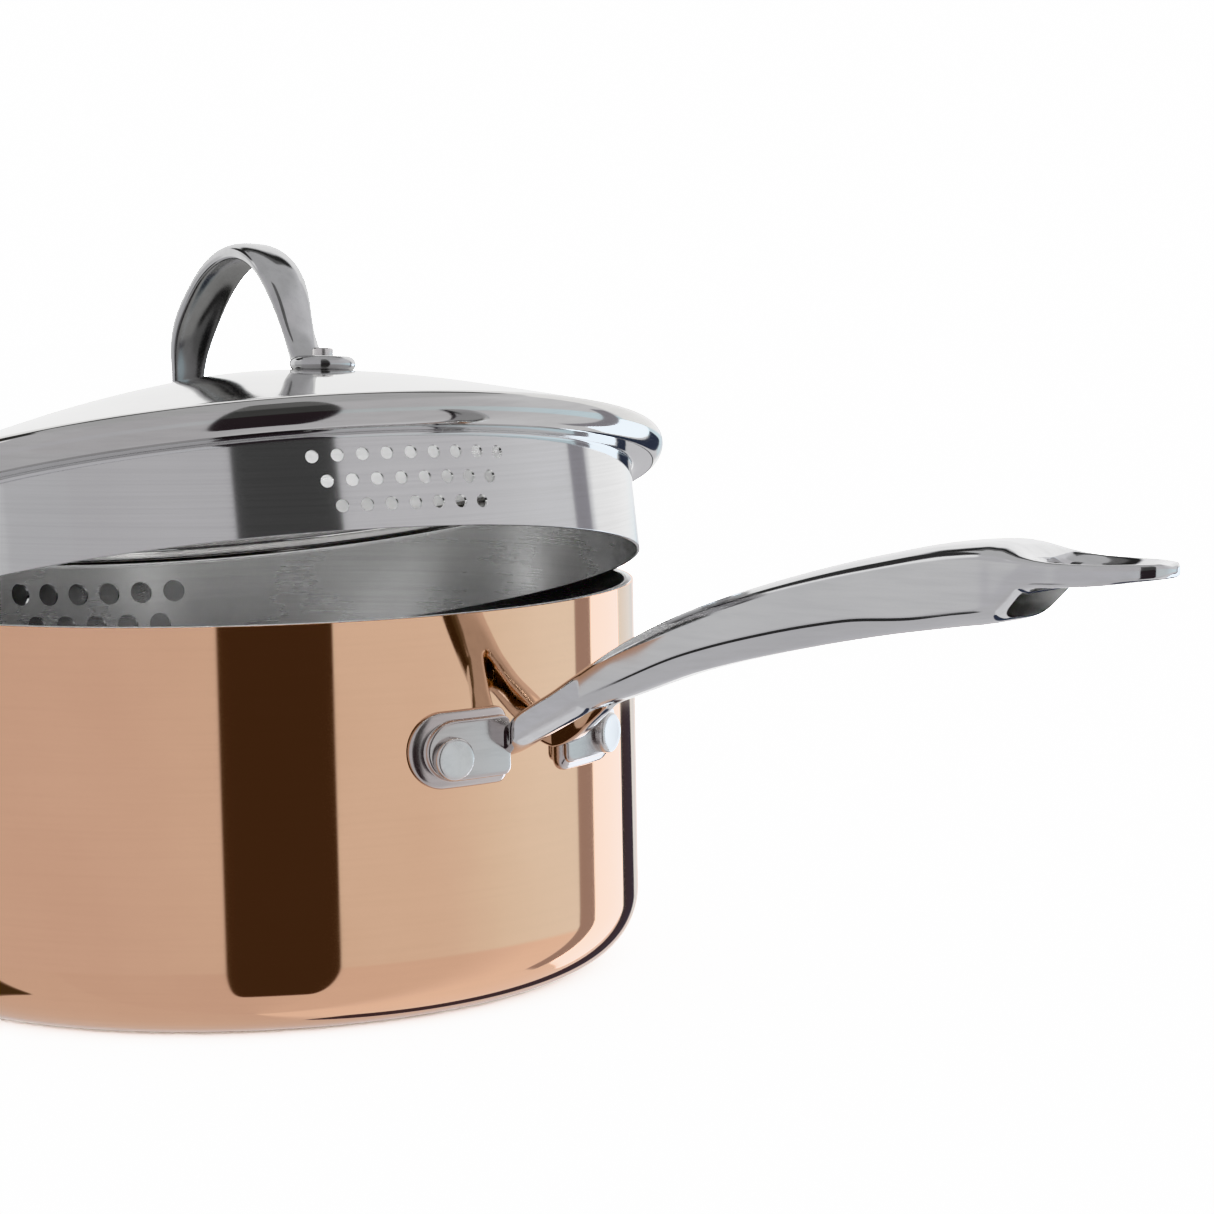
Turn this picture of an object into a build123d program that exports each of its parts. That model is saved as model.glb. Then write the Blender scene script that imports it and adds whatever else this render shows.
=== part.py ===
from build123d import *
import os
from math import atan2, cos, radians, sin

# A 20 cm straight-sided saucepan with a long riveted handle and a domed strainer lid.
# Frame: origin at the middle of the base's flat underside, +Z up, long handle along +X.
# The lid is modelled where it lies ajar: tilted, its collar crossing the pan's rim.
# All lengths are in millimetres and all angles in degrees.

# ---- pan body -------------------------------------------------------------
pan_radius = 102.5          # outside of the wall
pan_height = 99.3           # underside of the base to the rim
base_corner = 17.5          # outside radius between wall and base
copper = 0.6                # outer layer
core = 1.4                  # aluminium middle layer
liner = 0.5                 # stainless cooking surface
wall = copper + core + liner
pan_bore = pan_radius - wall

# ---- long handle ----------------------------------------------------------
pad_azimuth = 14.9          # rivet centre, each side of the handle's plane
pad_height = 67.0           # middle of each pad
pad_inner_arc = 9.4         # handle's plane to the squared end of a pad, along the wall
pad_outer_arc = 36.8        # handle's plane to the round end of a pad, along the wall
pad_depth = 18.6            # vertical size of a pad
pad_thickness = 3.4
pad_corner = 2.6
rivet_height = 65.3
stem_start = 121.0          # where the two arms have become one stem
handle_wall = 2.2           # wall of the hollow stem
hollow_start = stem_start + 2.5
section_roundness = 0.36    # corner radius as a share of a section's smaller side
arm_corner = 2.2
loop_plate_start = 247.0
loop_middle = 262.0         # from here the loop's outline and hole curve to the tip
loop_tip = 284.6            # far end of the hanging loop
loop_width = 23.2
loop_top = 118.7
loop_bottom = 113.4
loop_tip_round = 2.0
loop_hole_start = 254.5
loop_hole_end = 279.4
loop_hole_width = 14.6
mouth_floor_end = 245.0     # where the stem's underside stops
mouth_floor = 103.9
mouth_roof_start = 254.0    # where the slanting edge meets the loop's underside
mouth_roof = 111.8
mouth_roof_end = loop_bottom + 0.2
drain_hole = 3.2
drain_at = 128.6

# arm stations: distance from the pan's axis, middle across, middle height, width, height
arm_stations = [
    (103.6, 10.0, 68.2, 5.4, 7.4),
    (110.0, 10.4, 71.0, 7.4, 8.6),
    (118.0, 7.6, 76.3, 7.2, 9.2),
    (128.0, 4.3, 82.6, 8.4, 10.2),
]

# stem stations: distance from the pan's axis, top, underside, width
stem_stations = [
    (stem_start, 83.2, 74.2, 14.8),
    (136.0, 92.6, 79.8, 17.2),
    (158.0, 102.2, 87.2, 19.6),
    (186.0, 110.9, 94.0, 22.0),
    (214.0, 117.6, 99.4, 23.6),
    (238.0, 121.4, 102.9, 24.2),
    (259.0, 119.4, 105.0, loop_width),
]

# ---- handle rivets --------------------------------------------------------
rivet_head = 10.4
rivet_head_height = 2.0
rivet_shank = 6.0
rivet_inner_head = 11.4
rivet_inner_height = 1.6

# ---- lid, in its own frame: origin in the middle of the collar's lower edge -----
collar_radius = 97.5        # outside of the collar
sheet = 0.8
collar_height = 23.4        # lower edge to the top of its outward flange
lip_radius = 106.6          # outermost point of the rolled lip
lip_start = 102.5           # where the dome turns down into the lip
lip_start_height = 31.4
lip_widest_height = 27.3
lip_underside = 22.6        # the lip's flat underside
dome_height = 55.4
small_hole = 3.1
small_rows = [(17.65, 9), (11.70, 8), (5.75, 7)]     # height, number of holes
small_first = -34.2         # azimuth of the first hole in the top row
small_pitch = 3.52
large_hole = 6.2
large_rows = [(14.75, 6), (5.60, 5)]
large_first = 181.7
large_pitch = -5.72

# ---- lid bow --------------------------------------------------------------
bow_azimuth = -11.9         # direction from foot to foot, in the lid's frame
# outer and inner line of the arch from the near foot over the crown to the far foot
bow_outer = [
    (36.0, 54.0), (31.6, 61.0), (29.6, 70.0), (23.6, 81.5), (14.5, 88.3), (5.0, 90.4),
    (-6.0, 88.7), (-14.0, 84.9), (-22.4, 79.2), (-29.2, 69.6), (-31.4, 61.0), (-36.0, 54.0),
]
bow_inner = [
    (31.2, 54.0), (28.6, 61.0), (26.0, 69.5), (20.0, 80.0), (12.5, 84.6), (5.0, 85.8),
    (-6.0, 83.8), (-14.0, 79.6), (-20.5, 74.6), (-25.8, 68.0), (-28.4, 61.0), (-31.2, 54.0),
]
bow_blank_top = 93.0        # above the crown
bow_flare_start = 58.0      # height where the strap starts to widen
bow_flare_end = 82.0        # height where it has its full width
bow_blank_foot = 50.0       # under the dome's surface
bow_width_top = 13.0
bow_width_foot = 9.0
foot_reach = 39.0           # lid axis to the middle of a foot
foot_diameter = 16.6
foot_height = 49.0          # lid's lower edge to the middle of a foot's seat
foot_thickness = 4.4
foot_edge_round = 1.6
foot_sink = 1.03            # foot's own plane to the dome's surface above it
foot_slope = 11.5           # the feet follow the dome
lid_rivet_head = 5.4
lid_rivet_head_height = 2.0
lid_rivet_shank = 4.0
lid_rivet_inner = 8.0
lid_rivet_inner_height = 1.4
rivet_seat_gap = 0.02        # inner head to the underside of the dome

# ---- how the lid lies on the pan --------------------------------------------
lid_tilt = 13.5
lid_raised_azimuth = -24.6
lid_x = 16.2
lid_y = -7.3
lid_above_rim = -0.3        # middle of the collar's lower edge, relative to the rim

lid_place = (
    Pos(lid_x, lid_y, pan_height + lid_above_rim)
    * Rot(0, 0, lid_raised_azimuth)
    * Rot(0, -lid_tilt, 0)
    * Rot(0, 0, -lid_raised_azimuth)
)


def cup(outer_radius, bottom, corner):
    """Solid of the pan's outline at one layer boundary, up to the rim."""
    floor_end = outer_radius - corner
    with BuildPart() as solid:
        with BuildSketch(Plane.XZ):
            with BuildLine():
                Line((0, bottom), (floor_end, bottom))
                RadiusArc((floor_end, bottom), (outer_radius, bottom + corner), -corner)
                Line((outer_radius, bottom + corner), (outer_radius, pan_height))
                Line((outer_radius, pan_height), (0, pan_height))
                Line((0, pan_height), (0, bottom))
            make_face()
        revolve(axis=Axis.Z)
    return solid.part


def pan_layers():
    """Copper shell, aluminium core and steel liner, nested face to face."""
    depths = [0, copper, copper + core, wall]
    cups = [cup(pan_radius - d, d, base_corner - d) for d in depths]
    return [cups[i] - cups[i + 1] for i in range(3)]


def radial(azimuth, height, radius=0.0):
    """Plane on the pan's axis side, X outward along the azimuth, Z up."""
    return Pos(0, 0, height) * Rot(0, 0, azimuth) * Pos(radius, 0, 0)


def pad(side):
    """One curved wing pad: round outer end, squared inner end, against the wall."""
    half = pad_depth / 2
    inner = pan_radius * sin(pad_inner_arc / pan_radius)
    outer = pan_radius * sin(pad_outer_arc / pan_radius)
    with BuildSketch(Plane.YZ) as outline:
        with Locations(((inner + outer - half) / 2, 0)):
            Rectangle(outer - half - inner, pad_depth)
        with Locations((outer - half, 0)):
            Circle(half)
    face = outline.sketch
    corners = face.vertices().group_by(Axis.Y)[0]
    face = fillet(corners, pad_corner)
    blank = extrude(face, amount=pan_radius + 12)
    ring = Cylinder(pan_radius + pad_thickness, pad_depth + 4)
    ring -= Cylinder(pan_radius, pad_depth + 4)
    if side < 0:
        blank = mirror(blank, Plane.XZ)
    return Pos(0, 0, pad_height) * (blank & ring)


def rounded(x, middle_y, middle_z, width, height, radius):
    """Upright rounded rectangle across the handle at distance x."""
    section = Plane(origin=(x, middle_y, middle_z), x_dir=(0, 1, 0), z_dir=(1, 0, 0))
    return section * RectangleRounded(width, height, radius)


def arm(side):
    """One arm of the fork, from its pad to the stem."""
    sections = [
        rounded(x, side * y, z, width, height, arm_corner)
        for x, y, z, width, height in arm_stations
    ]
    return loft(sections)


def stem_body(inset):
    """The stem, or with an inset the hollow inside it."""
    sections = []
    for x, top, bottom, width in stem_stations:
        section_height = top - bottom - 2 * inset
        sections.append(
            rounded(
                x,
                0,
                (top + bottom) / 2,
                width - 2 * inset,
                section_height,
                section_roundness * min(section_height, width - 2 * inset),
            )
        )
    return loft(sections)


def half_oval(middle, end, half_width):
    """Half of an ellipse in plan, from the line x = middle out to x = end."""
    with BuildSketch() as outline:
        with Locations((middle, 0)):
            Ellipse(abs(end - middle), half_width)
            reach = 2 * abs(end - middle)
            cut_at = -reach / 2 if end > middle else reach / 2
            with Locations((cut_at, 0)):
                Rectangle(reach, 3 * half_width, mode=Mode.SUBTRACT)
    return outline.sketch


def loop_plate():
    """Flat end of the handle, around the hanging hole."""
    with BuildSketch() as straight:
        with Locations(((loop_plate_start + loop_middle) / 2, 0)):
            Rectangle(loop_middle - loop_plate_start, loop_width)
    face = straight.sketch + half_oval(loop_middle, loop_tip, loop_width / 2)
    plate = extrude(Pos(0, 0, loop_bottom) * face, amount=loop_top - loop_bottom)
    tip_edges = plate.edges().filter_by_position(Axis.X, loop_middle + 1, loop_tip + 1)
    level = [edge for edge in tip_edges if edge.bounding_box().size.Z < 0.01]
    return fillet(level, loop_tip_round)


def loop_hole():
    """Long oval hanging hole through the end of the handle."""
    half = loop_hole_width / 2
    face = half_oval(loop_middle, loop_hole_start, half)
    face += half_oval(loop_middle, loop_hole_end, half)
    return extrude(Pos(0, 0, mouth_floor) * face, amount=2 * (loop_top - mouth_floor))


def mouth_cut():
    """What is cut away below the end of the stem, leaving its open mouth."""
    below = mouth_floor - 15
    beyond = loop_tip + 15
    with BuildSketch(Plane.XZ) as outline:
        with BuildLine():
            Polyline(
                (mouth_floor_end, below),
                (mouth_floor_end, mouth_floor),
                (mouth_roof_start, mouth_roof),
                (beyond, mouth_roof_end),
                (beyond, below),
                close=True,
            )
        make_face()
    return extrude(outline.sketch, amount=loop_width, both=True)


def long_handle():
    """Hollow cast handle: two pads, fork, stem, mouth, drain hole, hanging loop."""
    solid = stem_body(0)
    solid += loop_plate()
    length = mouth_roof_start - hollow_start
    middle = (mouth_roof_start + hollow_start) / 2
    hollow = stem_body(handle_wall) & Pos(middle, 0, pan_height) * Box(length, 60, 80)
    for side in (-1, 1):
        solid += arm(side)
        solid += pad(side)
    solid -= Cylinder(pan_radius, 3 * pan_height)
    solid -= hollow
    solid -= mouth_cut()
    solid -= loop_hole()
    solid -= Pos(drain_at, 0, stem_stations[0][2]) * Cylinder(drain_hole / 2, 14)
    for side in (-1, 1):
        hole = radial(side * pad_azimuth, rivet_height, pan_radius + 4)
        solid -= hole * Rot(0, 90, 0) * Cylinder(rivet_shank / 2, 14)
    return solid


def handle_rivet(side):
    """Solid rivet: flat outer head, shank through pad and wall, head inside the pan."""
    outer_face = pan_radius + pad_thickness
    place = radial(side * pad_azimuth, rivet_height)
    length = outer_face - pan_bore
    middle = (outer_face + pan_bore) / 2
    shank = place * Pos(middle, 0, 0) * Rot(0, 90, 0) * Cylinder(rivet_shank / 2, length + 0.6)
    head = Cylinder(rivet_head / 2, rivet_head_height + 1)
    head = chamfer(head.edges().group_by(Axis.Z)[-1], 0.5)
    head = place * Pos(outer_face + (rivet_head_height - 1) / 2, 0, 0) * Rot(0, 90, 0) * head
    head -= Cylinder(outer_face, 3 * pan_height)
    button = Cylinder(rivet_inner_head / 2, rivet_inner_height + 1)
    button = fillet(button.edges().group_by(Axis.Z)[0], 1.2)
    button_middle = pan_bore - (rivet_inner_height - 1) / 2
    button = place * Pos(button_middle, 0, 0) * Rot(0, 90, 0) * button
    button &= Cylinder(pan_bore, 3 * pan_height)
    return head + shank + button


def dome_curve_points(inset):
    """Points of the dome's outline in the plane of its axis, inset from the outside."""
    radii = [0, 20.5, 41.0, 61.5, 82.0, lip_start]
    heights = [dome_height, 53.7, 49.6, 44.4, 38.1, lip_start_height]
    points = []
    for i, (r, z) in enumerate(zip(radii, heights)):
        before = max(i - 1, 0)
        after = min(i + 1, len(radii) - 1)
        slope = atan2(heights[after] - heights[before], radii[after] - radii[before])
        if i == 0:
            slope = 0
        if i == len(radii) - 1:
            slope = radians(-18.5)
        points.append((r + inset * sin(slope), z - inset * cos(slope)))
    return points


def dome_solid(inset):
    """Everything under the lid's outer surface, or under a surface inset from it."""
    top = dome_curve_points(inset)
    edge = top[-1][0]
    with BuildPart() as solid:
        with BuildSketch(Plane.XZ):
            with BuildLine():
                Spline(*top, tangents=[(1, 0), (1, -0.335)])
                Line(top[-1], (edge, 0))
                Line((edge, 0), (0, 0))
                Line((0, 0), top[0])
            make_face()
        revolve(axis=Axis.Z)
    return solid.part


def lid_dome():
    """Domed sheet whose edge rolls down and under, closed against the collar."""
    top = dome_curve_points(0)
    under = dome_curve_points(sheet)
    inner_widest = lip_radius - sheet
    lip_end = 103.4
    with BuildPart() as solid:
        with BuildSketch(Plane.XZ):
            with BuildLine():
                Spline(*top, tangents=[(1, 0), (1, -0.335)])
                Spline(
                    top[-1],
                    (lip_radius, lip_widest_height),
                    (lip_end, lip_underside),
                    tangents=[(1, -0.335), (-1, -0.1)],
                )
                Line((lip_end, lip_underside), (lip_end, lip_underside + sheet))
                Spline(
                    (lip_end, lip_underside + sheet),
                    (inner_widest, lip_widest_height),
                    under[-1],
                    tangents=[(1, 0.1), (-1, 0.335)],
                )
                Spline(*reversed(under), tangents=[(-1, 0.335), (-1, 0)])
                Line(under[0], top[0])
            make_face()
        revolve(axis=Axis.Z)
    dome = solid.part
    for end in (0, 180):
        dome -= foot_place(end) * Cylinder(lid_rivet_shank / 2, 16)
    return dome


def hole_row(first, pitch, height, count, diameter):
    """Radial drills for one row of strainer holes."""
    drill = Rot(0, 90, 0) * Cylinder(diameter / 2, 8)
    return [
        Rot(0, 0, first + i * pitch) * Pos(collar_radius, 0, height) * drill
        for i in range(count)
    ]


def strainer_collar():
    """Collar under the lid, pierced with small holes on one side and large opposite."""
    bore = collar_radius - sheet
    flange_radius = 103.2
    flange_low = lip_underside
    tube = Cylinder(collar_radius, collar_height, align=(Align.CENTER, Align.CENTER, Align.MIN))
    flange = Pos(0, 0, flange_low) * Cylinder(
        flange_radius, sheet, align=(Align.CENTER, Align.CENTER, Align.MIN)
    )
    opening = Cylinder(bore, collar_height + 2, align=(Align.CENTER, Align.CENTER, Align.MIN))
    solid = tube + flange - opening
    drills = []
    for index, (height, count) in enumerate(small_rows):
        first = small_first + index * small_pitch / 2
        drills += hole_row(first, small_pitch, height, count, small_hole)
    for index, (height, count) in enumerate(large_rows):
        first = large_first + index * large_pitch / 2
        drills += hole_row(first, large_pitch, height, count, large_hole)
    return solid - drills


def foot_place(end):
    """Middle of one foot's underside, on the dome and square to it."""
    at = Rot(0, 0, bow_azimuth + end) * Pos(foot_reach, 0, foot_height)
    return at * Rot(0, foot_slope, 0)


def bow_side():
    """Arch of the bow seen from the side, between its outer and inner lines."""
    with BuildSketch(Plane.XZ) as side:
        with BuildLine():
            Spline(*bow_outer, tangents=[(-0.75, 1), (-0.75, -1)])
            Line(bow_outer[-1], bow_inner[-1])
            Spline(*reversed(bow_inner), tangents=[(0.5, 1), (0.5, -1)])
            Line(bow_inner[0], bow_outer[0])
        make_face()
    return extrude(side.sketch, amount=bow_width_top, both=True)


def lid_bow():
    """Cast strap bow on two round feet, one piece."""
    half_top = bow_width_top / 2
    half_foot = bow_width_foot / 2
    with BuildSketch(Plane.YZ) as front:
        with BuildLine():
            foot_right = (half_foot, bow_flare_start)
            foot_left = (-half_foot, bow_flare_start)
            top_right = (half_top, bow_flare_end)
            top_left = (-half_top, bow_flare_end)
            Polyline((-half_foot, bow_blank_foot), (half_foot, bow_blank_foot), foot_right)
            Spline(foot_right, top_right, tangents=[(0, 1), (0, 1)])
            Polyline(top_right, (half_top, bow_blank_top), (-half_top, bow_blank_top), top_left)
            Spline(top_left, foot_left, tangents=[(0, -1), (0, -1)])
            Line(foot_left, (-half_foot, bow_blank_foot))
        make_face()
    solid = Rot(0, 0, bow_azimuth) * (bow_side() & extrude(front.sketch, amount=60, both=True))
    ground = dome_solid(0)
    for end in (0, 180):
        disc = Cylinder(foot_diameter / 2, foot_thickness + 2 * foot_sink)
        disc = fillet(disc.edges().group_by(Axis.Z)[-1], foot_edge_round)
        solid += foot_place(end) * Pos(0, 0, foot_thickness / 2 - foot_sink) * disc
    solid -= ground
    for end in (0, 180):
        solid -= foot_place(end) * Cylinder(lid_rivet_shank / 2, 30)
    return solid


def lid_rivet(end):
    """Rivet through one foot and the dome, with a head above and a head inside."""
    top = foot_thickness
    under = foot_sink - sheet
    place = foot_place(end)
    head = Cylinder(lid_rivet_head / 2, lid_rivet_head_height)
    head = fillet(head.edges().group_by(Axis.Z)[-1], 0.5)
    head = Pos(0, 0, top + lid_rivet_head_height / 2) * head
    shank = Pos(0, 0, (top + under) / 2) * Cylinder(lid_rivet_shank / 2, top - under + 0.4)
    button = Cylinder(lid_rivet_inner / 2, lid_rivet_inner_height + 1)
    button = fillet(button.edges().group_by(Axis.Z)[0], 0.6)
    button = place * Pos(0, 0, under + (1 - lid_rivet_inner_height) / 2) * button
    button &= dome_solid(sheet + rivet_seat_gap)
    return place * (head + shank) + button


def write(shape, name):
    export_step(shape, f"parts/{name}.step")


os.makedirs("parts", exist_ok=True)

copper_shell, aluminium_core, steel_liner = pan_layers()
for side in (-1, 1):
    rivet_hole = radial(side * pad_azimuth, rivet_height, pan_radius)
    rivet_hole = rivet_hole * Rot(0, 90, 0) * Cylinder(rivet_shank / 2, 14)
    copper_shell -= rivet_hole
    aluminium_core -= rivet_hole
    steel_liner -= rivet_hole

write(copper_shell, "pan_copper_shell")
write(aluminium_core, "pan_aluminium_core")
write(steel_liner, "pan_steel_liner")
write(long_handle(), "long_handle")
write(handle_rivet(-1), "handle_rivet_right")
write(handle_rivet(1), "handle_rivet_left")
write(lid_place * lid_dome(), "lid_dome")
write(lid_place * strainer_collar(), "lid_strainer_collar")
write(lid_place * lid_bow(), "lid_bow_handle")
write(lid_place * lid_rivet(0), "lid_rivet_front")
write(lid_place * lid_rivet(180), "lid_rivet_rear")
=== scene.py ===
import bpy
import bmesh
import math
import numpy as np
from mathutils import Matrix, Vector


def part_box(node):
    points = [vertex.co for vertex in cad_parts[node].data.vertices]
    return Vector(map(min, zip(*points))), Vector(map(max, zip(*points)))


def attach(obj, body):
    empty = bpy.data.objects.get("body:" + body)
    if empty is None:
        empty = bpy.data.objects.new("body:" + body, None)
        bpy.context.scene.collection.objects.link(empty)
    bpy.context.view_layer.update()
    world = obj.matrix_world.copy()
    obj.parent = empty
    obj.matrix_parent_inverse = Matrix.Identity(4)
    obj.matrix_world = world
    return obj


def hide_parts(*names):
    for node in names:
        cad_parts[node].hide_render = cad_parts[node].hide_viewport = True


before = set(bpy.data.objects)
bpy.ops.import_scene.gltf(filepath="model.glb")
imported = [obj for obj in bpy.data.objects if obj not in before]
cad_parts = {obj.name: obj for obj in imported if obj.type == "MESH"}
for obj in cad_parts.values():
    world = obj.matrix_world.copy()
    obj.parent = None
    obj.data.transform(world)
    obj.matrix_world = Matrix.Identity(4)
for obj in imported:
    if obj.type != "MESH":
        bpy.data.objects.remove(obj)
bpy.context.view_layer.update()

MM = 0.001

# ---- sizes of the object, in millimetres and degrees, in the row frame -------
PAN_RADIUS = 102.5
PAN_HEIGHT = 99.3
BASE_CORNER = 17.5
COPPER = 0.6
CORE = 1.4
LINER = 0.5
PAN_BORE = PAN_RADIUS - COPPER - CORE - LINER

LID_AT = (16.2, -7.3, 99.0)     # middle of the collar's lower edge
LID_TILT = 13.5
LID_RAISED = -24.6              # azimuth of the raised side
BOW_AZIMUTH = -11.9


def turn(degrees, axis):
    """Rotation about one axis."""
    return Matrix.Rotation(math.radians(degrees), 4, axis)


LID_PLACE = (
    Matrix.Translation(Vector(LID_AT))
    @ turn(LID_RAISED, "Z")
    @ turn(-LID_TILT, "Y")
    @ turn(-LID_RAISED, "Z")
)


# ---- mesh helpers ------------------------------------------------------------
def make_object(name, points, faces, place=None, sharp=35.0, merge=0.0):
    """A shaded mesh object from points in millimetres; edges over the angle stay sharp."""
    mesh = bpy.data.meshes.new(name)
    matrix = place or Matrix.Identity(4)
    pts = np.asarray(points, float)
    m = np.array(matrix)
    pts = pts @ m[:3, :3].T + m[:3, 3]
    mesh.from_pydata((pts * MM).tolist(), [], faces)
    bm = bmesh.new()
    bm.from_mesh(mesh)
    if merge:
        bmesh.ops.remove_doubles(bm, verts=bm.verts, dist=merge * MM)
    bmesh.ops.recalc_face_normals(bm, faces=bm.faces)
    bm.to_mesh(mesh)
    bm.free()
    obj = bpy.data.objects.new(name, mesh)
    bpy.context.scene.collection.objects.link(obj)
    shade(obj, sharp)
    return obj


def shade(obj, sharp):
    """Smooth shading, broken at edges over the angle."""
    mesh = obj.data
    mesh.polygons.foreach_set("use_smooth", [True] * len(mesh.polygons))
    bm = bmesh.new()
    bm.from_mesh(mesh)
    limit = math.radians(sharp)
    for e in bm.edges:
        e.smooth = len(e.link_faces) == 2 and e.calc_face_angle(0.0) < limit
    bm.to_mesh(mesh)
    bm.free()
    mesh.update()


def grid_faces(rows, cols, close_rows=False, start=0):
    """Faces of a grid of points whose every row is a closed ring."""
    faces = []
    for i in range(rows if close_rows else rows - 1):
        for j in range(cols):
            a = start + i * cols + j
            b = start + i * cols + (j + 1) % cols
            c = start + ((i + 1) % rows) * cols + (j + 1) % cols
            d = start + ((i + 1) % rows) * cols + j
            faces.append((a, b, c, d))
    return faces


def tube_faces(rows, cols, start=0):
    """Faces of a closed tube: its side and its two flat ends."""
    first, last = start, start + (rows - 1) * cols
    ends = [tuple(row + j for j in range(cols)) for row in (first, last)]
    return grid_faces(rows, cols, start=start) + ends


# radius that stands for a point on the axis, so that a ring of points stays a ring
AXIS_RADIUS = 0.001


def lathe(profile, segments=360, closed=True):
    """Points and faces of a profile (radius, height) turned about Z; it closes on itself or not."""
    profile = np.asarray(profile, float)
    angles = np.linspace(0, 2 * math.pi, segments, endpoint=False)
    ring = np.stack([np.cos(angles), np.sin(angles)], 1)
    points = []
    for r, z in profile:
        points.append(np.column_stack([ring * max(r, AXIS_RADIUS), np.full(segments, z)]))
    faces = grid_faces(len(profile), segments, close_rows=closed)
    return np.concatenate(points), faces


def arc(centre, radius, start, end, count):
    """Points of an arc, from one angle to another in degrees."""
    t = np.radians(np.linspace(start, end, count))
    return [(centre[0] + radius * math.cos(a), centre[1] + radius * math.sin(a)) for a in t]


def hermite(s):
    """Weights of start value, start slope, end value and end slope at share s of a span."""
    return (
        2 * s**3 - 3 * s**2 + 1,
        s**3 - 2 * s**2 + s,
        -2 * s**3 + 3 * s**2,
        s**3 - s**2,
    )


def spline(points, tangents=None, count=12):
    """Smooth cubic curve through points, with its end tangents given or left free."""
    p = np.asarray(points, float)
    n = len(p)
    u = np.concatenate([[0], np.cumsum(np.linalg.norm(np.diff(p, axis=0), axis=1))])
    h = np.diff(u)
    a = np.zeros((n, n))
    b = np.zeros((n, p.shape[1]))
    for i in range(1, n - 1):
        a[i, i - 1] = h[i]
        a[i, i] = 2 * (h[i - 1] + h[i])
        a[i, i + 1] = h[i - 1]
        b[i] = 3 * (h[i] * (p[i] - p[i - 1]) / h[i - 1] + h[i - 1] * (p[i + 1] - p[i]) / h[i])
    if tangents is None:
        a[0, 0], a[0, 1] = 2, 1
        b[0] = 3 * (p[1] - p[0]) / h[0]
        a[-1, -1], a[-1, -2] = 2, 1
        b[-1] = 3 * (p[-1] - p[-2]) / h[-1]
    else:
        for row, t in ((0, tangents[0]), (-1, tangents[1])):
            a[row, row] = 1
            t = np.asarray(t, float)
            b[row] = t / np.linalg.norm(t)
    m = np.linalg.solve(a, b)
    out = []
    for i in range(n - 1):
        last = i == n - 2
        for s in np.linspace(0, 1, count + (1 if last else 0), endpoint=last):
            w = hermite(s)
            value = w[0] * p[i] + w[1] * h[i] * m[i] + w[2] * p[i + 1] + w[3] * h[i] * m[i + 1]
            out.append(value)
    return [tuple(q) for q in out]


def bspline_closed(control, per_span):
    """Closed uniform cubic B-spline of one row of control points, or of many rows at once."""
    c = np.asarray(control, float)
    n = c.shape[-2]
    out = []
    for i in range(n):
        p = [c[..., (i + k - 1) % n, :] for k in range(4)]
        for s in np.linspace(0, 1, per_span, endpoint=False):
            w = (
                (1 - s) ** 3 / 6,
                (3 * s**3 - 6 * s**2 + 4) / 6,
                (-3 * s**3 + 3 * s**2 + 3 * s + 1) / 6,
                s**3 / 6,
            )
            out.append(sum(k * q for k, q in zip(w, p)))
    return np.stack(out, -2)


def table(rows):
    """Function that reads smoothly between the rows (x, value, value...) of a table."""
    rows = np.asarray(rows, float)
    xs, ys = rows[:, 0], rows[:, 1:]
    h = np.diff(xs)
    d = np.diff(ys, axis=0) / h[:, None]
    m = np.zeros_like(ys)
    m[0], m[-1] = d[0], d[-1]
    for i in range(1, len(xs) - 1):
        for k in range(ys.shape[1]):
            if d[i - 1, k] * d[i, k] > 0:
                w1 = 2 * h[i] + h[i - 1]
                w2 = h[i] + 2 * h[i - 1]
                m[i, k] = (w1 + w2) / (w1 / d[i - 1, k] + w2 / d[i, k])

    def read(x):
        i = int(np.clip(np.searchsorted(xs, x) - 1, 0, len(xs) - 2))
        s = (min(max(x, xs[0]), xs[-1]) - xs[i]) / h[i]
        w = hermite(s)
        return w[0] * ys[i] + w[1] * h[i] * m[i] + w[2] * ys[i + 1] + w[3] * h[i] * m[i + 1]

    return read


def cut(obj, cutter, sharp):
    """Takes the cutter's volume out of obj and removes the cutter."""
    mod = obj.modifiers.new("cut", "BOOLEAN")
    mod.operation = "DIFFERENCE"
    mod.solver = "EXACT"
    mod.object = cutter
    bpy.context.view_layer.update()
    graph = bpy.context.evaluated_depsgraph_get()
    mesh = bpy.data.meshes.new_from_object(obj.evaluated_get(graph))
    obj.modifiers.clear()
    old = obj.data
    obj.data = mesh
    bpy.data.meshes.remove(old)
    mesh.name = obj.name
    bpy.data.objects.remove(cutter)
    shade(obj, sharp)
    return obj


def joined(name, parts):
    """One object from several closed shells."""
    bm = bmesh.new()
    for part in parts:
        bm.from_mesh(part.data)
    mesh = bpy.data.meshes.new(name)
    bm.to_mesh(mesh)
    bm.free()
    for part in parts:
        bpy.data.objects.remove(part)
    obj = bpy.data.objects.new(name, mesh)
    bpy.context.scene.collection.objects.link(obj)
    return obj


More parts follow.
